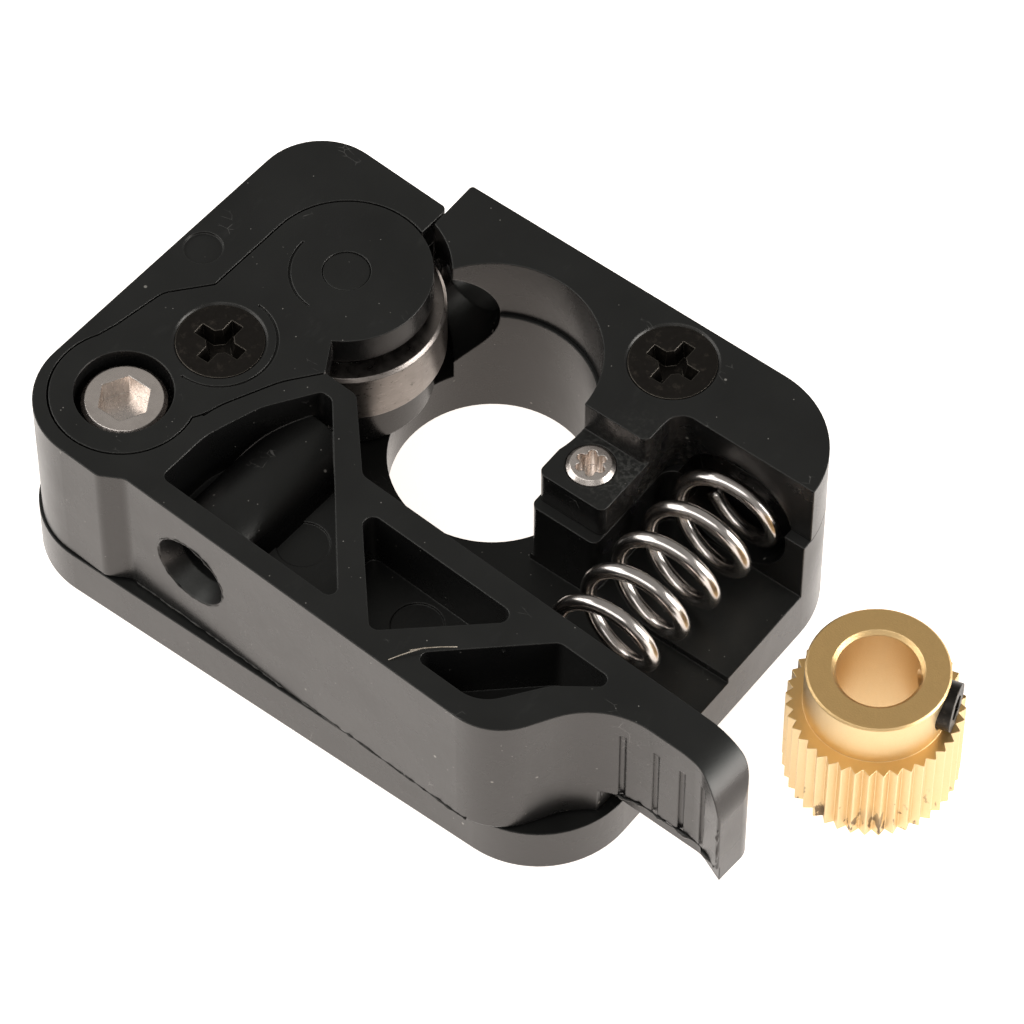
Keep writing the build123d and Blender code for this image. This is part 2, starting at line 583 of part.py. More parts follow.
with BuildPart() as foot_screw:
    foot_top = facing_down(FOOT_SCREW_X, FOOT_SCREW_Y, FOOT_TOP + FOOT_SCREW_PROUD)
    drop(foot_top, SCREW_DIAMETER / 2, FOOT_SCREW_LENGTH)
    chamfer(foot_screw.faces().sort_by(Axis.Z)[-1].edges(), EDGE)
    with BuildSketch(foot_top):
        Circle(LOBE_PITCH_RADIUS)
        with PolarLocations(LOBE_PITCH_RADIUS, 6):
            Circle(LOBE_RADIUS)
    extrude(amount=GRUB_HEX, mode=Mode.SUBTRACT)
foot_screw.part.label = "foot_screw"
export_step(foot_screw.part, "parts/foot_screw.step")

with BuildPart() as pivot_screw:
    screw_top = facing_down(PIVOT_X, PIVOT_Y, HEAD_TOP)
    drop(screw_top, CAP_HEAD_DIAMETER / 2, CAP_HEAD_HEIGHT)
    chamfer(pivot_screw.faces().sort_by(Axis.Z)[-1].edges(), EDGE)
    drop(facing_down(PIVOT_X, PIVOT_Y, HEAD_SEAT), SCREW_DIAMETER / 2, CAP_SCREW_LENGTH)
    hex_recess(screw_top, CAP_HEAD_HEX, CAP_HEAD_HEIGHT / 2)
pivot_screw.part.label = "pivot_screw"
export_step(pivot_screw.part, "parts/pivot_screw.step")

with BuildPart() as pivot_sleeve:
    sleeve_top = facing_down(PIVOT_X, PIVOT_Y, HEAD_SEAT - SEAT_GAP)
    drop(sleeve_top, SLEEVE_DIAMETER / 2, HEAD_SEAT - PLATE_THICKNESS - SEAT_GAP)
    drop(sleeve_top, SCREW_HOLE, HEAD_SEAT, Mode.SUBTRACT)
pivot_sleeve.part.label = "pivot_sleeve"
export_step(pivot_sleeve.part, "parts/pivot_sleeve.step")

# ---------------------------------------------------------------- spring
seat_end = Vector(SPRING_SEAT_X, CAP_BAY_BACK + SPRING_SEAT_DEPTH, SPRING_HEIGHT)
arm_end = Vector(*on_lever(ARM_SEAT_X, ARM_HALF - ARM_SEAT_DEPTH), SPRING_HEIGHT)
along = (seat_end - arm_end).normalized()
end_gap = SPRING_WIRE / 2 + SEAT_GAP
coil_start = arm_end + along * end_gap
coil_height = (seat_end - arm_end).length - 2 * end_gap
with BuildPart() as spring:
    with BuildLine():
        coil = Helix(
            pitch=coil_height / SPRING_TURNS,
            height=coil_height,
            radius=SPRING_MEAN_RADIUS,
            center=coil_start,
            direction=along,
        )
    with BuildSketch(Plane(origin=coil @ 0, z_dir=coil % 0)):
        Circle(SPRING_WIRE / 2)
    sweep(path=coil, is_frenet=True)
spring.part.label = "spring"
export_step(spring.part, "parts/spring.step")

# ---------------------------------------------------------------- idler bearing and its pin


def bearing_tube(height, outer, inner, length):
    """Tube about the idler's axis, rising from a height."""
    with BuildSketch(lever_plane(height)) as ring:
        with Locations((BEARING_X, BEARING_Y)):
            Circle(outer)
            Circle(inner, mode=Mode.SUBTRACT)
    extrude(ring.sketch, amount=length)


BALL_CENTRES = [
    (
        BEARING_X + BALL_PITCH_RADIUS * cos(radians(360 / BALL_COUNT * index)),
        BEARING_Y + BALL_PITCH_RADIUS * sin(radians(360 / BALL_COUNT * index)),
    )
    for index in range(BALL_COUNT)
]
BALL_ROOM = BALL_DIAMETER / 2 + FIT
bearing_middle = Location((BEARING_REST_X, BEARING_REST_Y, SEAM_HEIGHT))

with BuildPart() as bearing_pin:
    pin_foot = LEVER_BOTTOM + WALL / 2 + SEAT_GAP
    with BuildSketch(lever_plane(pin_foot)):
        with Locations((BEARING_X, BEARING_Y)):
            Circle(PIN_RADIUS)
    extrude(amount=CLAMP_BOTTOM - SEAT_GAP - pin_foot)
    with BuildSketch(lever_plane(pin_foot)):
        with Locations((BEARING_X, BEARING_Y)):
            Circle(PIN_NOSE_DIAMETER / 2)
    extrude(amount=BLOCK_HEIGHT - SEAT_GAP - pin_foot)
bearing_pin.part.label = "bearing_pin"
export_step(bearing_pin.part, "parts/bearing_pin.step")

with BuildPart() as bearing_inner_ring:
    bearing_tube(BEARING_BOTTOM, INNER_RING_RADIUS, BEARING_BORE / 2, BEARING_WIDTH)
    with Locations(bearing_middle):
        Torus(BALL_PITCH_RADIUS, BALL_ROOM, mode=Mode.SUBTRACT)
bearing_inner_ring.part.label = "bearing_inner_ring"
export_step(bearing_inner_ring.part, "parts/bearing_inner_ring.step")

with BuildPart() as bearing_outer_ring:
    bearing_tube(BEARING_BOTTOM, BEARING_DIAMETER / 2, OUTER_RING_BORE_RADIUS, BEARING_WIDTH)
    rims = bearing_outer_ring.edges().filter_by(GeomType.CIRCLE)
    chamfer(rims.group_by(SortBy.RADIUS)[-1], RACE_CHAMFER)
    with Locations(bearing_middle):
        Torus(BALL_PITCH_RADIUS, BALL_ROOM, mode=Mode.SUBTRACT)
bearing_outer_ring.part.label = "bearing_outer_ring"
export_step(bearing_outer_ring.part, "parts/bearing_outer_ring.step")

with BuildPart() as bearing_shield_upper:
    bearing_tube(
        BEARING_TOP - SHIELD_SINK - SHIELD_THICKNESS,
        OUTER_RING_BORE_RADIUS - FIT,
        INNER_RING_RADIUS + 2 * FIT,
        SHIELD_THICKNESS,
    )
bearing_shield_upper.part.label = "bearing_shield_upper"
export_step(bearing_shield_upper.part, "parts/bearing_shield_upper.step")

with BuildPart() as bearing_shield_lower:
    bearing_tube(
        BEARING_BOTTOM + SHIELD_SINK,
        OUTER_RING_BORE_RADIUS - FIT,
        INNER_RING_RADIUS + 2 * FIT,
        SHIELD_THICKNESS,
    )
bearing_shield_lower.part.label = "bearing_shield_lower"
export_step(bearing_shield_lower.part, "parts/bearing_shield_lower.step")

with BuildPart() as bearing_balls:
    for x, y in BALL_CENTRES:
        with Locations((*on_lever(x, y), SEAM_HEIGHT)):
            Sphere(BALL_DIAMETER / 2)
bearing_balls.part.label = "bearing_balls"
export_step(bearing_balls.part, "parts/bearing_balls.step")

with BuildPart() as bearing_cage:
    bearing_tube(
        SEAM_HEIGHT - CAGE_HEIGHT / 2,
        BALL_PITCH_RADIUS + CAGE_THICKNESS / 2,
        BALL_PITCH_RADIUS - CAGE_THICKNESS / 2,
        CAGE_HEIGHT,
    )
    for x, y in BALL_CENTRES:
        centre = Vector(*on_lever(x, y), SEAM_HEIGHT)
        outward = centre - bearing_middle.position
        with BuildSketch(Plane(origin=bearing_middle.position, z_dir=outward)):
            Circle(BALL_ROOM)
        extrude(amount=BEARING_DIAMETER / 2, mode=Mode.SUBTRACT)
bearing_cage.part.label = "bearing_cage"
export_step(bearing_cage.part, "parts/bearing_cage.step")

# ---------------------------------------------------------------- drive gear
gear_screw_height = TOOTH_LENGTH + (GEAR_HEIGHT - TOOTH_LENGTH) / 2
screw_out = Vector(cos(radians(GEAR_SCREW_ANGLE)), sin(radians(GEAR_SCREW_ANGLE)), 0)
screw_end = Vector(GEAR_X, GEAR_Y, gear_screw_height) + screw_out * GEAR_SCREW_START

with BuildPart() as drive_gear:
    with BuildSketch(Plane.XY):
        with Locations((GEAR_X, GEAR_Y)):
            Circle(GEAR_DIAMETER / 2)
            with PolarLocations(GEAR_DIAMETER / 2, GEAR_TEETH):
                RegularPolygon(TOOTH_DEPTH, 4, mode=Mode.SUBTRACT)
    extrude(amount=TOOTH_LENGTH)
    with BuildSketch(Plane.XY):
        with Locations((GEAR_X, GEAR_Y)):
            Circle(HUB_DIAMETER / 2)
    extrude(amount=GEAR_HEIGHT)
    chamfer(drive_gear.faces().sort_by(Axis.Z)[-1].edges(), EDGE / 2)
    with BuildSketch(Plane.XY):
        with Locations((GEAR_X, GEAR_Y)):
            Circle(SHAFT_DIAMETER / 2)
    extrude(amount=GEAR_HEIGHT, mode=Mode.SUBTRACT)
    bore_rims = drive_gear.edges().filter_by(GeomType.CIRCLE).group_by(SortBy.RADIUS)[0]
    chamfer(bore_rims, EDGE)
    with BuildSketch(Plane(origin=(GEAR_X, GEAR_Y, gear_screw_height), z_dir=screw_out)):
        Circle(SCREW_HOLE)
    extrude(amount=GEAR_DIAMETER, mode=Mode.SUBTRACT)
drive_gear.part.label = "drive_gear"
export_step(drive_gear.part, "parts/drive_gear.step")

with BuildPart() as gear_set_screw:
    with BuildSketch(Plane(origin=screw_end, z_dir=screw_out)):
        Circle(SCREW_DIAMETER / 2)
    extrude(amount=GEAR_SCREW_LENGTH)
    outer_face = Plane(origin=screw_end + screw_out * GEAR_SCREW_LENGTH, z_dir=screw_out * -1)
    hex_recess(outer_face, GRUB_HEX, GRUB_HEX)
gear_set_screw.part.label = "gear_set_screw"
export_step(gear_set_screw.part, "parts/gear_set_screw.step")
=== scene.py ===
import json
import math

import bpy
from mathutils import Matrix, Vector, noise


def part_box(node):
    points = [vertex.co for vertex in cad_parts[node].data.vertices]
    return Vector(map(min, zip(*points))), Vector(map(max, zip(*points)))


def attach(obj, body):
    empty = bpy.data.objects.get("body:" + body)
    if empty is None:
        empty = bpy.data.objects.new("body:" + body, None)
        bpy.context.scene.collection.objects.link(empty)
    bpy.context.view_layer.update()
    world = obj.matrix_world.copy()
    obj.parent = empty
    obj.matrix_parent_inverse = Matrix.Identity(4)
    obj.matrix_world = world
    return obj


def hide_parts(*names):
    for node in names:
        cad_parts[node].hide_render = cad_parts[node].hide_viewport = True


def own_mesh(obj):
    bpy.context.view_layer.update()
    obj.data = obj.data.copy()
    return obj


# Looks of a direct-drive filament feeder: black moulded block and sprung lever, steel
# fasteners, idler bearing and spring, and the loose brass drive gear beside it. Metres.

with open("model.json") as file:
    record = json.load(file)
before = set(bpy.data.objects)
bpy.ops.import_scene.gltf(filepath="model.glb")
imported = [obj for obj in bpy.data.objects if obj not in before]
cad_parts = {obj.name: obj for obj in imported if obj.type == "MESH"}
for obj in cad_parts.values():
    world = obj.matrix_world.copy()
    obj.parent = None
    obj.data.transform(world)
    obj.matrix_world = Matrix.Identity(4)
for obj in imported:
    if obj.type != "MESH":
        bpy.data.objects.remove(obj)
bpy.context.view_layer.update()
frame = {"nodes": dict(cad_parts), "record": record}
nodes = frame["nodes"]
MM = 0.001

# Colours. A sheen tints the highlights; the others tint the surface.
WARM_SHEEN = (1.0, 0.91, 0.85)
COOL_SHEEN = (1.0, 1.0, 0.94)
PLASTIC_DARK = (0.0035, 0.0035, 0.0036)
PLASTIC_LIGHT = (0.0075, 0.0075, 0.0072)
# painted highlight: the plastic's sharp edges are painted lighter
PLASTIC_EDGE_HIGHLIGHT = (0.10, 0.098, 0.092)
SCUFF = (0.09, 0.088, 0.083)
SCRATCH = (0.2, 0.19, 0.17)
DUST = (0.32, 0.30, 0.27)
HAIR = (0.30, 0.29, 0.27)
CRUMB = (0.25, 0.24, 0.21)
OXIDE_DARK = (0.020, 0.017, 0.014)
OXIDE_WORN = (0.06, 0.05, 0.04)
# rubbed wear and painted highlight on the blackened steel's sharp edges
OXIDE_EDGE_HIGHLIGHT = (0.33, 0.29, 0.24)
STEEL_PIT = (0.10, 0.085, 0.07)
# painted highlight on bare steel's sharp edges
STEEL_EDGE_HIGHLIGHT = (0.9, 0.89, 0.86)
# painted light and shade: one brass, painted brighter on tops than on walls
BRASS_SHADED_WALL = (0.78, 0.60, 0.35)
BRASS_LIT_TOP = (0.97, 0.63, 0.26)
BRASS_DULL = (0.72, 0.48, 0.20)
# painted highlight on the brass's sharp edges
BRASS_EDGE_HIGHLIGHT = (1.0, 0.85, 0.58)
# dark patches low on the gear
LOW_DARK_PATCH = (0.06, 0.035, 0.02)
BRASS_SPOT = (0.12, 0.07, 0.03)
FIBRE_DARK = (0.30, 0.25, 0.19)
FIBRE_LIGHT = (0.50, 0.44, 0.36)
STAIN_SHADE = 0.62  # how dark a stain on steel is, as a share of its colour

# ------------------------------------------------------------------ shader helpers


class Shader:
    """One procedural material, built on the piece's own coordinates in millimetres.

    The colour and roughness given here are the plain values that lie under any links.
    """

    def __init__(self, name, color, roughness, metallic=0.0, ior=1.5):
        self.material = bpy.data.materials.new(name)
        self.material.use_nodes = True
        self.tree = self.material.node_tree
        self.surface = self.tree.nodes["Principled BSDF"]
        self.surface.inputs["Base Color"].default_value = (*color, 1)
        self.surface.inputs["Roughness"].default_value = roughness
        self.surface.inputs["Metallic"].default_value = metallic
        self.surface.inputs["IOR"].default_value = ior
        scale = self.tree.nodes.new("ShaderNodeVectorMath")
        scale.operation = "SCALE"
        scale.inputs["Scale"].default_value = 1 / MM
        place = self.tree.nodes.new("ShaderNodeTexCoord")
        self.link(place.outputs["Object"], scale.inputs[0])
        self.place = scale.outputs[0]

    def link(self, source, target):
        self.tree.links.new(source, target)

    def put(self, value, socket):
        """Set a socket from another socket or from a plain value."""
        if isinstance(value, bpy.types.NodeSocket):
            self.link(value, socket)
        else:
            socket.default_value = value

    def math(self, operation, first, second, clamp=False):
        node = self.tree.nodes.new("ShaderNodeMath")
        node.operation = operation
        node.use_clamp = clamp
        self.put(first, node.inputs[0])
        self.put(second, node.inputs[1])
        return node.outputs[0]

    def stretch(self, x, y, z):
        """The piece's coordinates scaled by a different factor on each axis."""
        node = self.tree.nodes.new("ShaderNodeVectorMath")
        node.operation = "MULTIPLY"
        self.link(self.place, node.inputs[0])
        node.inputs[1].default_value = (x, y, z)
        return node.outputs[0]

    def noise(self, scale, detail=4.0, place=None, rough=0.55):
        node = self.tree.nodes.new("ShaderNodeTexNoise")
        self.link(place or self.place, node.inputs["Vector"])
        node.inputs["Scale"].default_value = scale
        node.inputs["Detail"].default_value = detail
        node.inputs["Roughness"].default_value = rough
        return node.outputs["Fac"]

    def cells(self, scale, feature="F1", place=None):
        node = self.tree.nodes.new("ShaderNodeTexVoronoi")
        node.feature = feature
        self.link(place or self.place, node.inputs["Vector"])
        node.inputs["Scale"].default_value = scale
        return node

    def ramp(self, value, low, high, start=0.0, end=1.0):
        """Map a value from one range to another, held at both ends."""
        node = self.tree.nodes.new("ShaderNodeMapRange")
        self.put(value, node.inputs["Value"])
        node.inputs["From Min"].default_value = low
        node.inputs["From Max"].default_value = high
        node.inputs["To Min"].default_value = start
        node.inputs["To Max"].default_value = end
        return node.outputs["Result"]

    def fade(self, value, near, far):
        """1 where the value is at most near, falling to 0 at far."""
        return self.ramp(value, near, far, 1.0, 0.0)

    def spread(self, value, start, end):
        """Spread a noise over a range, from the middle part of it that varies most."""
        return self.ramp(value, 0.3, 0.7, start, end)

    def blend(self, share, first, second):
        node = self.tree.nodes.new("ShaderNodeMix")
        node.data_type = "RGBA"
        self.put(share, node.inputs["Factor"])
        for value, socket in ((first, node.inputs["A"]), (second, node.inputs["B"])):
            self.put((*value, 1) if isinstance(value, tuple) else value, socket)
        return node.outputs["Result"]

    def layer(self, base, mask, strength, tint):
        """The base colour with a tint laid over it where the mask is set."""
        return self.blend(self.math("MULTIPLY", mask, strength), base, tint)

    def specks(self, scale, size, share):
        """Small round specks: one for a share of the cells."""
        cell = self.cells(scale)
        near = self.fade(cell.outputs["Distance"], size * 0.6, size)
        split = self.tree.nodes.new("ShaderNodeSeparateColor")
        self.link(cell.outputs["Color"], split.inputs[0])
        return self.math("MULTIPLY", near, self.math("LESS_THAN", split.outputs[0], share))

    def split(self, vector):
        node = self.tree.nodes.new("ShaderNodeSeparateXYZ")
        self.link(vector, node.inputs[0])
        return node

    def upward(self):
        """1 on faces that look up, 0 on walls."""
        geometry = self.tree.nodes.new("ShaderNodeNewGeometry")
        normal = self.split(geometry.outputs["Normal"])
        return self.ramp(normal.outputs["Z"], low=0.5, high=0.85)

    def edges(self, radius):
        """Smoothed normal and a mask of sharp edges, within a radius in millimetres."""
        soft = self.tree.nodes.new("ShaderNodeBevel")
        soft.samples = 6
        soft.inputs["Radius"].default_value = radius * MM
        flat = self.tree.nodes.new("ShaderNodeNewGeometry")
        dot = self.tree.nodes.new("ShaderNodeVectorMath")
        dot.operation = "DOT_PRODUCT"
        self.link(soft.outputs[0], dot.inputs[0])
        self.link(flat.outputs["Normal"], dot.inputs[1])
        return soft.outputs[0], self.ramp(dot.outputs["Value"], low=0.99, high=0.8)

    def color(self, value):
        self.put(value, self.surface.inputs["Base Color"])

    def roughness(self, value):
        self.put(value, self.surface.inputs["Roughness"])

    def bump(self, height, depth, over=None):
        """Relief of the given depth in millimetres, over an optional smoothed normal."""
        node = self.tree.nodes.new("ShaderNodeBump")
        node.inputs["Strength"].default_value = 1.0
        node.inputs["Distance"].default_value = depth * MM
        self.link(height, node.inputs["Height"])
        if over is not None:
            self.link(over, node.inputs["Normal"])
        self.link(node.outputs[0], self.surface.inputs["Normal"])


# ------------------------------------------------------------------ materials


def black_plastic(name="black_plastic", dusty=None):
    """Moulded black plastic: dull tops, glossier walls, dust, scuffs; dusty places crumbs."""
    s = Shader(name, (0.006, 0.006, 0.0062), 0.4)
    top = s.upward()
    wall = s.math("SUBTRACT", 1.0, top)
    rounded, edge = s.edges(radius=0.14)
    cloud = s.noise(0.22, detail=5)
    streak = s.noise(1.0, detail=6, place=s.stretch(1.6, 1.6, 0.8), rough=0.65)
    fine = s.noise(9.0, detail=3)
    wall_roughness = s.spread(cloud, 0.22, 0.33)
    top_roughness = s.spread(cloud, 0.36, 0.46)
    on_top = s.math("MULTIPLY", top, top_roughness)
    on_wall = s.math("MULTIPLY", wall, wall_roughness)
    s.roughness(s.math("ADD", on_top, on_wall))
    s.put(s.blend(top, WARM_SHEEN, COOL_SHEEN), s.surface.inputs["Specular Tint"])

    sparse = s.specks(scale=0.5, size=0.06, share=0.30)
    small = s.specks(scale=2.1, size=0.10, share=0.14)
    specks = s.math("ADD", sparse, small, clamp=True)
    web = s.cells(0.8, "DISTANCE_TO_EDGE", s.stretch(1.0, 2.1, 1.0))
    hairs = s.fade(web.outputs["Distance"], near=0.008, far=0.016)
    hairs = s.math("MULTIPLY", hairs, s.ramp(s.noise(0.35, detail=3), low=0.66, high=0.70))
    scuff = s.noise(0.9, detail=6, place=s.stretch(1.0, 0.35, 1.0), rough=0.7)
    scuff = s.ramp(scuff, low=0.60, high=0.75)
    base = s.blend(cloud, PLASTIC_DARK, PLASTIC_LIGHT)
    base = s.layer(base, scuff, 0.07, SCUFF)
    scratch = s.noise(1.0, detail=5, place=s.stretch(0.5, 0.5, 9.0), rough=0.7)
    scratch = s.ramp(scratch, low=0.66, high=0.74)
    base = s.layer(base, s.math("MULTIPLY", scratch, wall), 0.06, SCRATCH)
    # painted edge highlight: sharp edges are painted lighter
    base = s.layer(base, edge, 0.15, PLASTIC_EDGE_HIGHLIGHT)
    base = s.layer(base, specks, 0.6, DUST)
    base = s.layer(base, hairs, 0.25, HAIR)
    grain = s.math("MULTIPLY", fine, 0.3)
    waves = s.math("MULTIPLY", streak, s.math("MULTIPLY", wall, 0.45))
    relief = s.math("ADD", grain, waves)
    if dusty is not None:
        gap = s.tree.nodes.new("ShaderNodeVectorMath")
        gap.operation = "DISTANCE"
        s.link(s.place, gap.inputs[0])
        gap.inputs[1].default_value = dusty
        near = s.fade(gap.outputs["Value"], near=1.5, far=5.0)
        crumbs = s.ramp(s.noise(3.2, detail=8, rough=0.8), low=0.50, high=0.66)
        crumbs = s.math("MULTIPLY", crumbs, near)
        base = s.layer(base, crumbs, 0.22, CRUMB)
        relief = s.math("ADD", relief, s.math("MULTIPLY", crumbs, 1.4))
    s.color(base)
    s.bump(relief, 0.02, rounded)
    return s.material


def black_oxide():
    """Blackened screw steel with a brown cast and worn patches; its sharp edges are painted
    lighter, rubbed wear and a painted highlight.
    """
    s = Shader("black_oxide", (0.03, 0.026, 0.022), 0.4, metallic=0.8)
    rounded, edge = s.edges(radius=0.1)
    worn = s.ramp(s.noise(1.6, detail=6, rough=0.7), low=0.56, high=0.72)
    base = s.blend(worn, OXIDE_DARK, OXIDE_WORN)
    # sharp edges painted lighter: rubbed wear and a painted edge highlight
    s.color(s.layer(base, edge, 0.32, OXIDE_EDGE_HIGHLIGHT))
    s.roughness(s.spread(s.noise(3.0), 0.34, 0.50))
    s.bump(s.noise(7.0), 0.015, rounded)
    return s.material


def steel(name, color, low, high, brush=(1.0, 1.0, 1.0), pit=0.0):
    """Bare steel: tint, roughness range, brushing direction and strength of dark pits."""
    s = Shader(name, color, low, metallic=1.0)
    rounded, edge = s.edges(radius=0.08)
    grain = s.noise(3.0, detail=6, place=s.stretch(*brush), rough=0.65)
    stain = s.ramp(s.noise(0.7), low=0.45, high=0.7)
    base = s.layer(color, stain, 0.35, tuple(c * STAIN_SHADE for c in color))
    if pit:
        spot = s.ramp(s.noise(2.2, detail=6, rough=0.75), low=0.60, high=0.66)
        base = s.layer(base, spot, pit, STEEL_PIT)
    # sharp edges painted lighter: a painted edge highlight
    s.color(s.layer(base, edge, 0.35, STEEL_EDGE_HIGHLIGHT))
    s.roughness(s.spread(grain, low, high))
    s.bump(grain, 0.008, rounded)
    return s.material


def gear_brass():
    """Machined brass: satin, grained, with dark patches low down; its tops are painted brighter
    than its walls, painted light and shade, and its edges are painted brighter, a painted
    highlight.
    """
    s = Shader("gear_brass", (0.84, 0.52, 0.20), 0.4, metallic=1.0)
    rounded, edge = s.edges(radius=0.08)
    grain = s.noise(9.0, detail=5, rough=0.7)
    # painted light and shade: upward faces painted brighter than walls
    base = s.blend(s.upward(), BRASS_SHADED_WALL, BRASS_LIT_TOP)
    base = s.layer(base, s.noise(0.6), 0.3, BRASS_DULL)
    # sharp edges painted brighter: a painted edge highlight
    base = s.layer(base, edge, 0.45, BRASS_EDGE_HIGHLIGHT)
    # dark patches towards the bottom of the gear
    low = s.fade(s.split(s.place).outputs["Z"], near=0.8, far=3.4)
    low_patches = s.noise(1.1, place=s.stretch(1.0, 1.0, 0.45))
    low_patches = s.math("MULTIPLY", s.ramp(low_patches, low=0.60, high=0.64), low)
    base = s.layer(base, low_patches, 0.85, LOW_DARK_PATCH)
    base = s.layer(base, s.specks(scale=0.8, size=0.12, share=0.10), 0.7, BRASS_SPOT)
    s.color(base)
    s.roughness(s.spread(grain, 0.34, 0.50))
    s.bump(grain, 0.02, rounded)
    return s.material


def pale_fibre():
    """A stray textile fibre: pale brown, mottled along its length."""
    s = Shader("fibre", (0.40, 0.34, 0.27), 0.6)
    mottle = s.ramp(s.noise(2.0, detail=5), low=0.35, high=0.65)
    s.color(s.blend(mottle, FIBRE_DARK, FIBRE_LIGHT))
    s.roughness(s.spread(s.noise(6.0), 0.5, 0.75))
    s.bump(s.noise(20.0, detail=3), 0.004)
    return s.material


# steel takes a tint, the least and greatest roughness, and the brushing
looks = {
    "fibre": pale_fibre(),
    "black_plastic": black_plastic(),
    "black_steel": black_oxide(),
    "bright_steel": steel("bright_steel", (0.82, 0.74, 0.68), 0.20, 0.36, (1.0, 1.0, 0.3)),
    "zinc_steel": steel("zinc_steel", (0.55, 0.55, 0.56), 0.25, 0.45),
    "spring_steel": steel("spring_steel", (0.66, 0.61, 0.57), 0.17, 0.27, (0.4, 1.0, 0.4)),
    "bearing_steel": steel(
        "bearing_steel", (0.30, 0.265, 0.24), 0.24, 0.40, (0.5, 0.5, 3.0), pit=0.8
    ),
    "cage_brass": steel("cage_brass", (0.60, 0.44, 0.20), 0.3, 0.45),
    "gear_brass": gear_brass(),
}

# crumbs of dust lie in the corner beside the foot's screw
DUST_SHIFT = 2.0
foot_low, foot_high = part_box("foot_screw")
foot = [(low + high) / 2 / MM for low, high in zip(foot_low, foot_high)]
special = {
    "tower_cap": black_plastic("black_plastic_cap", dusty=[c + DUST_SHIFT for c in foot]),
    "bearing_pin": black_plastic("black_pin"),
}
for part in frame["record"]["subparts"]:
    mesh = nodes[part["node"]].data
    mesh.materials.clear()
    mesh.materials.append(special.get(part["node"], looks[part["material_slot"]]))

# ------------------------------------------------------------------ spring


def mesh_piece(name, vertices, faces, material, body):
    """A smooth mesh object that rides on a body."""
    mesh = bpy.data.meshes.new(name)
    mesh.from_pydata(vertices, [], faces)
    mesh.materials.append(material)
    piece = bpy.data.objects.new(name, mesh)
    bpy.context.scene.collection.objects.link(piece)
    for polygon in mesh.polygons:
        polygon.use_smooth = True
    mesh.update()
    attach(piece, body)
    return piece


def tube(points, radius, sides=20):
    """Vertices and faces of a closed round bar that follows points."""
    vertices, faces = [], []
    across = None
    for i, point in enumerate(points):
        ahead = points[min(i + 1, len(points) - 1)] - points[max(i - 1, 0)]
        ahead.normalize()
        across = ahead.orthogonal() if across is None else across - ahead * across.dot(ahead)
        across.normalize()
        other = ahead.cross(across)
        for k in range(sides):
            turn = 2 * math.pi * k / sides
            vertices.append(point + (across * math.cos(turn) + other * math.sin(turn)) * radius)
        if i:
            first = (i - 1) * sides
            for k in range(sides):
                n = (k + 1) % sides
                faces.append((first + k, first + n, first + sides + n, first + sides + k))
    faces.append(tuple(reversed(range(sides))))
    faces.append(tuple(range(len(vertices) - sides, len(vertices))))
    return vertices, faces


SPRING_TURNS = 5.9
COIL_STEPS = SPRING_TURNS * 48
WIRE = 1.0 * MM
UP = Vector((0, 0, 1))
low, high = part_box("spring")
coil_radius = (high[2] - low[2]) / 2 - WIRE / 2
# the coil leans a little in plan, because the lever's seat is swung back from the tower's
seat = Vector((high[0] - coil_radius - WIRE / 2, high[1], (low[2] + high[2]) / 2))
arm = Vector((low[0] + coil_radius + WIRE / 2, low[1], (low[2] + high[2]) / 2))
along = (seat - arm).normalized()
side = UP.cross(along).normalized()
rise = (seat - arm).length - WIRE
coil = []
for i in range(int(COIL_STEPS) + 1):
    share = i / COIL_STEPS
    turn = 2 * math.pi * SPRING_TURNS * share
    centre = arm + along * (WIRE / 2 + rise * share)
    coil.append(centre + (side * math.cos(turn) + UP * math.sin(turn)) * coil_radius)
spring = mesh_piece("spring_coil", *tube(coil, WIRE / 2), looks["spring_steel"], "frame")
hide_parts("spring")
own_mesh(spring)

# ------------------------------------------------------------------ moulding flash and fibre
# Places here are millimetres in the lever's own axes: x along its arm from the pivot.
REST_ANGLE = math.radians(-3.0)
joints = frame["record"]["behaviour"]["joints"]
pivot = Vector(next(joint for joint in joints if joint["name"] == "lever_swing")["pos_m"])
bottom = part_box("lever")[0][2] / MM
NOISE_SEED = 5
BEAD_SIDES = 8
LUMPS, KINKS = 2200, 1500  # how fast a bead's thickness and its line vary, per metre
THINNEST = 0.25  # least thickness of a bead, as a share of its size
TAB_LINE = [(36.0, 1.15), (37.2, 1.52), (38.9, 1.8), (42.0, 1.87), (42.9, 1.8), (44.3, 1.28)]
TAB_RISE = 2.0  # height of the thumb tab's lower line over the lever's underside
NOTCH, NOTCH_RISE = (35.9, 1.25), 0.7
TIP, TIP_RISE, TIP_TOP = (44.5, 1.22), 2.1, 6.2
WALL_Y = -4.62  # just inside the arm's long outer wall
INLET_X, INLET_Z, INLET_RADIUS, INLET_STEPS = 9.2, 9.0, 2.56, 80
SEAM_START, SEAM_END = 4.6, 30.5
FIBRE_LINE = [(24.4, -4.2, 14.05), (25.0, -3.0, 14.25), (26.1, -1.6, 14.3), (27.6, -0.4, 14.08)]


def on_lever(x, y, z):
    """Place of a point given in millimetres in the lever's own axes."""
    point = Matrix.Rotation(REST_ANGLE, 3, "Z") @ Vector((x, y, 0)) * MM + pivot
    return Vector((point.x, point.y, z * MM))


def between(corners, step):
    """Points a step apart, in millimetres, along straight runs between corners."""
    points = []
    for start, end in zip(corners, corners[1:]):
        count = max(1, int((end - start).length / (step * MM)))
        points += [start.lerp(end, i / count) for i in range(count)]
    return points + [corners[-1]]


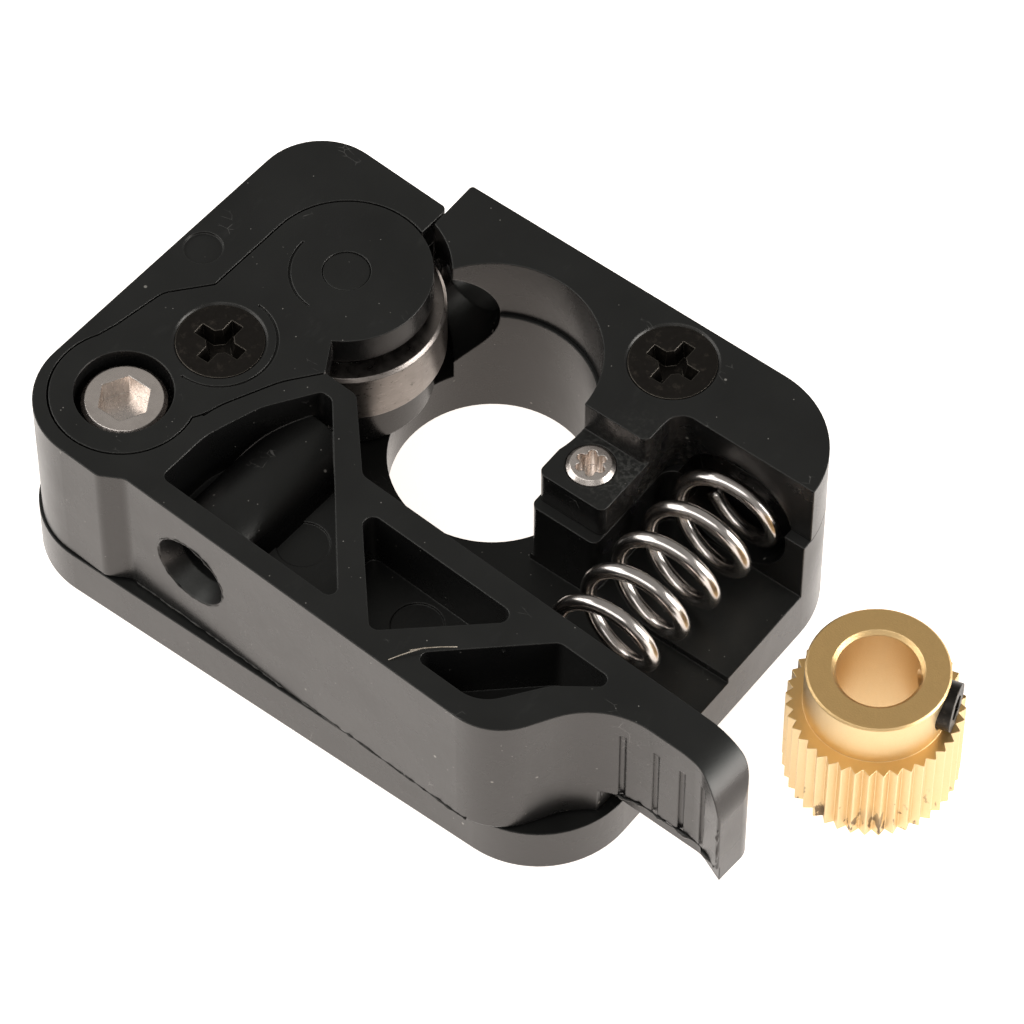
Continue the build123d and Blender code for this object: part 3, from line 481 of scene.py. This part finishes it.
def flash(name, points, size, rough, seed, look="black_plastic"):
    """Ragged bead on the lever, half sunk in the surface that it follows."""
    vertices, faces = tube(points, size * MM, BEAD_SIDES)
    for i, vertex in enumerate(vertices):
        place = points[i // BEAD_SIDES]
        grow = 1 + rough * noise.noise(place * LUMPS + Vector((seed, 0, 0)))
        jog = noise.noise_vector(place * KINKS + Vector((seed, 7, 3))) * size * MM * rough * 0.5
        vertices[i] = place + (vertex - place) * max(grow, THINNEST) + jog
    mesh_piece(name, vertices, faces, looks[look], "lever")


# noise_vector draws its offsets from the clock unless it is seeded
noise.seed_set(NOISE_SEED)
tab = between([on_lever(x, y, bottom + TAB_RISE) for x, y in TAB_LINE], step=0.12)
flash("flash_tab", tab, size=0.11, rough=1.7, seed=1.0)
notch_ends = [on_lever(*NOTCH, bottom + TAB_RISE), on_lever(*NOTCH, bottom + NOTCH_RISE)]
flash("flash_notch", between(notch_ends, step=0.12), size=0.08, rough=1.4, seed=5.0)
ridge_ends = [on_lever(*TIP, bottom + TIP_RISE), on_lever(*TIP, bottom + TIP_TOP)]
flash("flash_ridge", between(ridge_ends, step=0.15), size=0.08, rough=1.3, seed=9.0)
inlet = []
for i in range(INLET_STEPS + 1):
    turn = 2 * math.pi * (i % INLET_STEPS) / INLET_STEPS
    x = INLET_X + INLET_RADIUS * math.cos(turn)
    inlet.append(on_lever(x, WALL_Y, INLET_Z + INLET_RADIUS * math.sin(turn)))
flash("flash_inlet", inlet, size=0.06, rough=1.3, seed=3.0)
seam_ends = [on_lever(SEAM_START, WALL_Y, bottom), on_lever(SEAM_END, WALL_Y, bottom)]
flash("flash_seam", between(seam_ends, step=0.2), size=0.06, rough=1.6, seed=17.0)
fibre = [on_lever(*corner) for corner in FIBRE_LINE]
arc = [
    a.lerp(b, t).lerp(b.lerp(c, t), t)
    for a, b, c in zip(fibre, fibre[1:], fibre[2:])
    for t in (0.0, 0.25, 0.5, 0.75)
]
flash("fibre", arc, size=0.03, rough=0.5, seed=13.0, look="fibre")

# ------------------------------------------------------------------ floor, light and camera
FLOOR_HALF = 3.0
FLOOR_DROP = 0.0002
floor_mesh = bpy.data.meshes.new("floor")
corners = [(x * FLOOR_HALF, y * FLOOR_HALF, 0) for x, y in ((-1, -1), (1, -1), (1, 1), (-1, 1))]
floor_mesh.from_pydata(corners, [], [(0, 1, 2, 3)])
floor = bpy.data.objects.new("floor", floor_mesh)
floor.location.z = -FLOOR_DROP
bpy.context.scene.collection.objects.link(floor)
pale = Shader("pale_floor", (0.85, 0.85, 0.85), 0.6)
# the glow whitens the floor up to the photo's white background
pale.surface.inputs["Emission Color"].default_value = (1.0, 0.92, 0.85, 1)
pale.surface.inputs["Emission Strength"].default_value = 1.04
floor_mesh.materials.append(pale.material)

world = bpy.data.worlds.new("studio")
bpy.context.scene.world = world
world.use_nodes = True
background = world.node_tree.nodes["Background"]
background.inputs["Color"].default_value = (1.0, 0.985, 0.96, 1)
background.inputs["Strength"].default_value = 0.30

MIDDLE = Vector((0.005, -0.006, 0.007))


def softbox(name, place, size, power):
    """Rectangular area light that points at the object's middle."""
    light = bpy.data.lights.new(name, "AREA")
    light.shape = "RECTANGLE"
    light.size, light.size_y = size
    light.energy = power
    lamp = bpy.data.objects.new(name, light)
    lamp.location = place
    lamp.rotation_euler = (MIDDLE - Vector(place)).to_track_quat("-Z", "Y").to_euler()
    bpy.context.scene.collection.objects.link(lamp)


softbox("box_left", (-0.50, -0.28, 0.36), (0.60, 0.45), 2.3)
softbox("box_right", (0.48, 0.20, 0.16), (0.35, 0.30), 2.6)
softbox("box_above", (0.02, -0.34, 0.52), (0.70, 0.22), 1.1)

# the camera was solved from the photo's edges; its rows are right, up and back
camera = bpy.data.cameras.new("camera")
camera.lens = 222.8
camera.sensor_width = 36.0
camera.clip_start = 0.01
eye = bpy.data.objects.new("camera", camera)
right = Vector((0.7937, 0.6083, 0.0))
up = Vector((-0.4984, 0.6503, 0.5734))
back = Vector((0.3488, -0.4551, 0.8193))
eye.matrix_world = Matrix((right, up, back)).transposed().to_4x4()
eye.location = Vector((136.7, -176.4, 316.4)) * MM
bpy.context.scene.collection.objects.link(eye)
bpy.context.scene.camera = eye
bpy.context.scene.view_settings.view_transform = "Standard"
